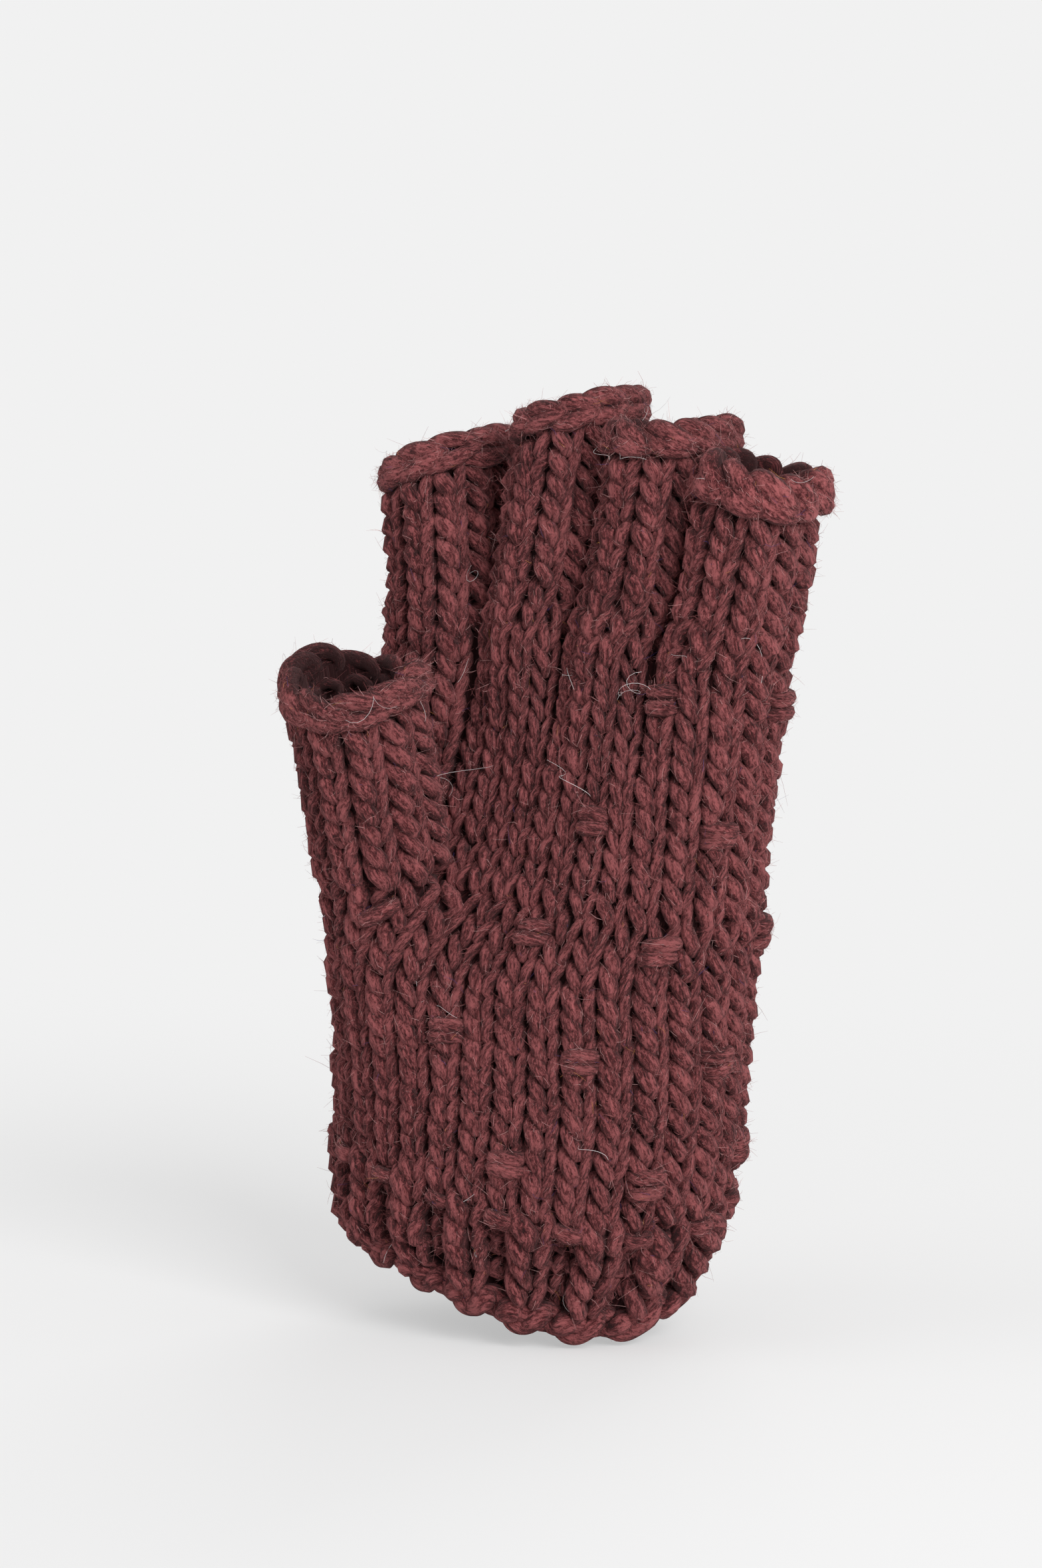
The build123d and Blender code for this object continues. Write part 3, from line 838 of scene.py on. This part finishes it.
def finger_grid(name):
    """The finger's surface: it starts as a slice of the hand and settles into a leaning round tube."""
    x, lean, width, depth, length, courses, palm, back, right_side, left_side = FINGERS[name]
    columns = np.arange(0, DIGIT_COLUMNS, 1 / GRID_COLUMNS)
    lean = np.radians(lean)
    up, across = np.array((np.sin(lean), 0, np.cos(lean))), np.array((np.cos(lean), 0, -np.sin(lean)))
    root = np.array((x, HAND_SECTIONS[-1, 2], root_height(x)))

    def on_hand(column):
        """Points of these columns of the hand on its last course."""
        return above_thumb(column, np.full_like(column, HAND_COURSES), np.zeros_like(column), HAND_COLUMNS)[0]

    palm_right, back_right, back_left, palm_left = on_hand(np.array((palm + 4, back, back + 4, palm), float))
    root_ring = np.empty((len(columns), 3))
    front = columns < 4
    right_part = (columns >= 4) & (columns < 4 + right_side)
    rear = (columns >= 4 + right_side) & (columns < 8 + right_side)
    left_part = columns >= 8 + right_side
    root_ring[front] = on_hand(palm + columns[front])
    root_ring[rear] = on_hand(back + columns[rear] - 4 - right_side)
    gap = CROTCH_GAP * np.array((1, 0, 0))
    if right_side:
        t = ((columns[right_part] - 4) / right_side)[:, None]
        root_ring[right_part] = palm_right * (1 - t) + back_right * t - gap
    if left_side:
        t = ((columns[left_part] - 8 - right_side) / left_side)[:, None]
        root_ring[left_part] = back_left * (1 - t) + palm_left * t + gap
    root_ring = np.stack([blurred(coordinate, ROOT_BLUR) for coordinate in root_ring.T], -1)
    tube_x, tube_y = round_tube(width, depth, FINGER_SQUARE, 180 + 18 * left_side, columns)
    tube = root + tube_x[:, None] * across + tube_y[:, None] * np.array((0, 1, 0))
    level, heights, pitch = climb(length, *RIMS[name][:2], courses, tube_x)
    settled = smooth(0, ROOT_SETTLE, level)[..., None]
    grid = root_ring * (1 - settled) + tube * settled + heights[..., None] * up
    return surface(grid, -1, courses + 3), pitch, root, up


def thumb_grid():
    """The thumb's surface: a round tube that leaves the top of the swell along its own direction."""
    columns = np.arange(0, DIGIT_COLUMNS, 1 / GRID_COLUMNS)
    width, depth, length = THUMB_SIZE
    x, y = round_tube(width, depth, 2.0, 180, columns)
    _, heights, pitch = climb(length, *RIMS["thumb"][:2], THUMB_COURSES, x)
    ring = THUMB_ROOT + x[:, None] * THUMB_ACROSS + y[:, None] * THUMB_FORE
    grid = ring + heights[..., None] * THUMB_WAY
    return surface(grid, -1, THUMB_COURSES + 3), pitch, THUMB_ROOT, THUMB_WAY


LINK_POINTS = 40
LINK_WIDTH = 2.2  # how far a link's legs lie from its middle line
LINK_SPLAY = 0.45  # how much further apart its legs are at its foot than at its head
LINK_DEPTH = 0.6  # how far its legs come forward next to its two ends
LINK_TILT = 1.15  # how far its head comes forward over the next link's foot
LINK_THICK = 2.35
LINK_FLAT = 1.08  # a link's strand is this much wider than thick
LINK_CURL = 0.15  # the chain leans in towards the opening at its top
RIM_PROUD = -0.8
RIM_HEIGHT = 9.0  # height of the rim that the links' sizes are given for
# How unlike each other links are, in reach, place, width, lift, height and thickness
LINK_UNEVEN = np.array((0.06, 0.06, 0.10, 0.30, 0.35, 0.08))


def rim_chain(place, courses, pitch, seed, height, half, slant, corners):
    """The bound-off chain: links whose feet and heads tuck behind their neighbours' legs.

    Each link is a closed loop, q = i + h cos t along the rim and p = w sin t (1 - e cos t) - s cos t across
    it, that comes forward on its legs and over the next link: lift = k cos t - d cos 2t.
    """
    rng = np.random.default_rng(seed)
    made = []
    size = height / RIM_HEIGHT
    t = 2 * np.pi * np.arange(LINK_POINTS) / LINK_POINTS
    for link in range(DIGIT_COLUMNS):
        longer, moved, wider, out, up, thicker = LINK_UNEVEN * rng.normal(0, 1, 6)
        along = link + 0.5 + (half + longer) * np.cos(t) + moved
        wide = LINK_WIDTH * size * (1 - 0.10 * slant) * (1 + wider)
        across = wide * np.sin(t) * (1 - LINK_SPLAY * np.cos(t)) - slant * np.cos(t)
        lift = RIM_PROUD + out + LINK_TILT * np.cos(t) - LINK_DEPTH * np.cos(2 * t) - LINK_CURL * across
        corner = corners * np.cos(4 * np.pi * along / DIGIT_COLUMNS)
        course = courses + (height / 2 + across + corner + up) / pitch
        path, normal = place(along, course, lift, DIGIT_COLUMNS)
        thick = LINK_THICK * size * (1 + thicker) * (0.84 - 0.16 * np.cos(2 * t))
        made.append(strand(path, normal, LINK_FLAT * thick, thick, True, seed + link))
    return made


for number, name in enumerate(("thumb", *FINGERS)):
    if name == "thumb":
        place, pitch, root, up = thumb_grid()
        courses, trimmed, keep, mat_start = THUMB_COURSES, THUMB_TRIMMED, outside_hand, -1
    else:
        place, pitch, root, up = finger_grid(name)
        courses, trimmed, keep, mat_start = FINGERS[name][5], 0, None, 0
    skein = Skein()
    for course in range(courses):
        near_hand = keep if course < trimmed else None
        seed = 1000 * (number + 1) + course
        for made in course_strand(place, DIGIT_COLUMNS, course, seed, near_hand, wale=DIGIT_WALE):
            skein.add(*made)
    skein.add(*matting(place, DIGIT_COLUMNS, mat_start, courses + 1.0, keep=keep))
    piece = wool_mesh(name + "_courses", skein, maroon)
    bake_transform(piece)
    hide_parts(name + "_knuckle", name + "_tube")
    piece = fuzz_mesh(name + "_fuzz", skein, DIGIT_FUZZ * courses, 4, 80 + number)
    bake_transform(piece)
    skein = Skein()
    height, _, half, slant, corners = RIMS[name]
    for made in rim_chain(place, courses, pitch, 5000 * (number + 1), height, half, slant, corners):
        skein.add(*made)
    piece = wool_mesh(name + "_rim", skein, maroon)
    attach(piece, name)
    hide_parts(name + "_bind_off")
    piece = fuzz_mesh(name + "_rim_fuzz", skein, RIM_FUZZ, 3, 90 + number)
    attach(piece, name)

# ============================================================ floor, light and camera
# The glove stands on pale paper that fades into a plain backdrop. One soft lamp to its right gives most of
# the light, with a weak one on its left and one behind it. The camera looks at the palm from a little above.

VIEW_TURN, VIEW_RISE, VIEW_AWAY = np.radians(32), np.radians(6), 0.9
VIEW_HEIGHT = 0.3199  # height of what the camera sees at the glove, in metres
VIEW_TARGET = (0, 0, 0.085)
VIEW_SHIFT = (-0.00217, 0.01607)  # from the target to the middle of the view, to the right and up
FILM = 36

camera = bpy.data.objects.new("camera", bpy.data.cameras.new("camera"))
bpy.context.collection.objects.link(camera)
right = np.array((np.cos(VIEW_TURN), np.sin(VIEW_TURN), 0))
level = np.array((np.sin(VIEW_TURN), -np.cos(VIEW_TURN), 0))
back = level * np.cos(VIEW_RISE) + np.array((0, 0, np.sin(VIEW_RISE)))
up = np.cross(back, right)
middle = np.array(VIEW_TARGET) + VIEW_SHIFT[0] * right + VIEW_SHIFT[1] * up
camera.location = middle + VIEW_AWAY * back
camera.rotation_euler = (np.pi / 2 - VIEW_RISE, 0, VIEW_TURN)
camera.data.sensor_fit = "VERTICAL"
camera.data.sensor_height = FILM
camera.data.lens = FILM * VIEW_AWAY / VIEW_HEIGHT
bpy.context.scene.camera = camera

PAPER_NEAR, PAPER_FAR = 0.10, 0.50  # distances in metres over which the paper fades into the backdrop
PAPER_REACH = 6  # half the paper's width
PAPER_DROP = 0.0015  # how far the paper lies below the hem, for the fuzz
BACKDROP = 0.88
LIGHT_TARGET = np.array((0, 0, 0.08))
LAMPS = (
    ("key", (1.15, -0.70, 0.75), 0.8, 20.5),
    ("fill", (-0.8, -0.8, 0.7), 0.9, 3),
    ("back", (-0.3, 1.2, 0.8), 0.9, 7),
)


def backdrop_where_seen(nodes, links, lit, share=None):
    """Mixes a plain pale glow over the lit shader, by the share, where it is seen directly or mirrored."""
    rays = nodes.new("ShaderNodeLightPath")
    seen = rays.outputs["Is Camera Ray"]
    for kind in ("Is Glossy Ray", "Is Transmission Ray"):
        seen = maths("MAXIMUM", seen, rays.outputs[kind])
    if share:
        seen = maths("MULTIPLY", seen, share)
    glow = nodes.new("ShaderNodeEmission")
    dial(glow, {"Color": (BACKDROP, BACKDROP, BACKDROP, 1)})
    mixed = nodes.new("ShaderNodeMixShader")
    links.new(seen, mixed.inputs[0])
    links.new(lit, mixed.inputs[1])
    links.new(glow.outputs[0], mixed.inputs[2])
    ending = next(n for n in nodes if n.type.startswith("OUTPUT"))
    links.new(mixed.outputs[0], ending.inputs["Surface"])


floor_height = cad_box[0][2] - PAPER_DROP
mesh = bpy.data.meshes.new("floor")
corners = [(x * PAPER_REACH, y * PAPER_REACH, floor_height) for x, y in ((-1, -1), (1, -1), (1, 1), (-1, 1))]
mesh.from_pydata(corners, [], [(0, 1, 2, 3)])
floor = bpy.data.objects.new("floor", mesh)
bpy.context.collection.objects.link(floor)
paper, nodes, links, shader = new_material("paper")
dial(shader, {"Base Color": (0.80, 0.80, 0.80, 1), "Roughness": 0.9, "Specular IOR Level": 0.0})
place = nodes.new("ShaderNodeTexCoord")
away = nodes.new("ShaderNodeVectorMath")
away.operation = "LENGTH"
links.new(place.outputs["Object"], away.inputs[0])
fade = nodes.new("ShaderNodeMapRange")
fade.interpolation_type = "SMOOTHSTEP"
dial(fade, {"From Min": PAPER_NEAR, "From Max": PAPER_FAR, "To Min": 0.5})
links.new(away.outputs["Value"], fade.inputs["Value"])
backdrop_where_seen(nodes, links, shader.outputs[0], fade.outputs["Result"])
mesh.materials.append(paper)

world = bpy.data.worlds.new("studio")
world.use_nodes = True
nodes, links = world.node_tree.nodes, world.node_tree.links
room = nodes["Background"]
dial(room, {"Color": (0.9, 0.9, 0.9, 1), "Strength": 0.54})
backdrop_where_seen(nodes, links, room.outputs[0])
bpy.context.scene.world = world
for name, spot, size, power in LAMPS:
    lamp = bpy.data.lights.new(name, "AREA")
    lamp.size, lamp.energy = size, power
    lamp_object = bpy.data.objects.new(name, lamp)
    bpy.context.collection.objects.link(lamp_object)
    lamp_object.location = spot
    aim = LIGHT_TARGET - np.array(spot)
    tilt, turn = np.arccos(-aim[2] / np.linalg.norm(aim)), np.arctan2(aim[1], aim[0]) - np.pi / 2
    lamp_object.rotation_euler = (tilt, 0, turn)
bpy.context.scene.view_settings.view_transform = "Standard"
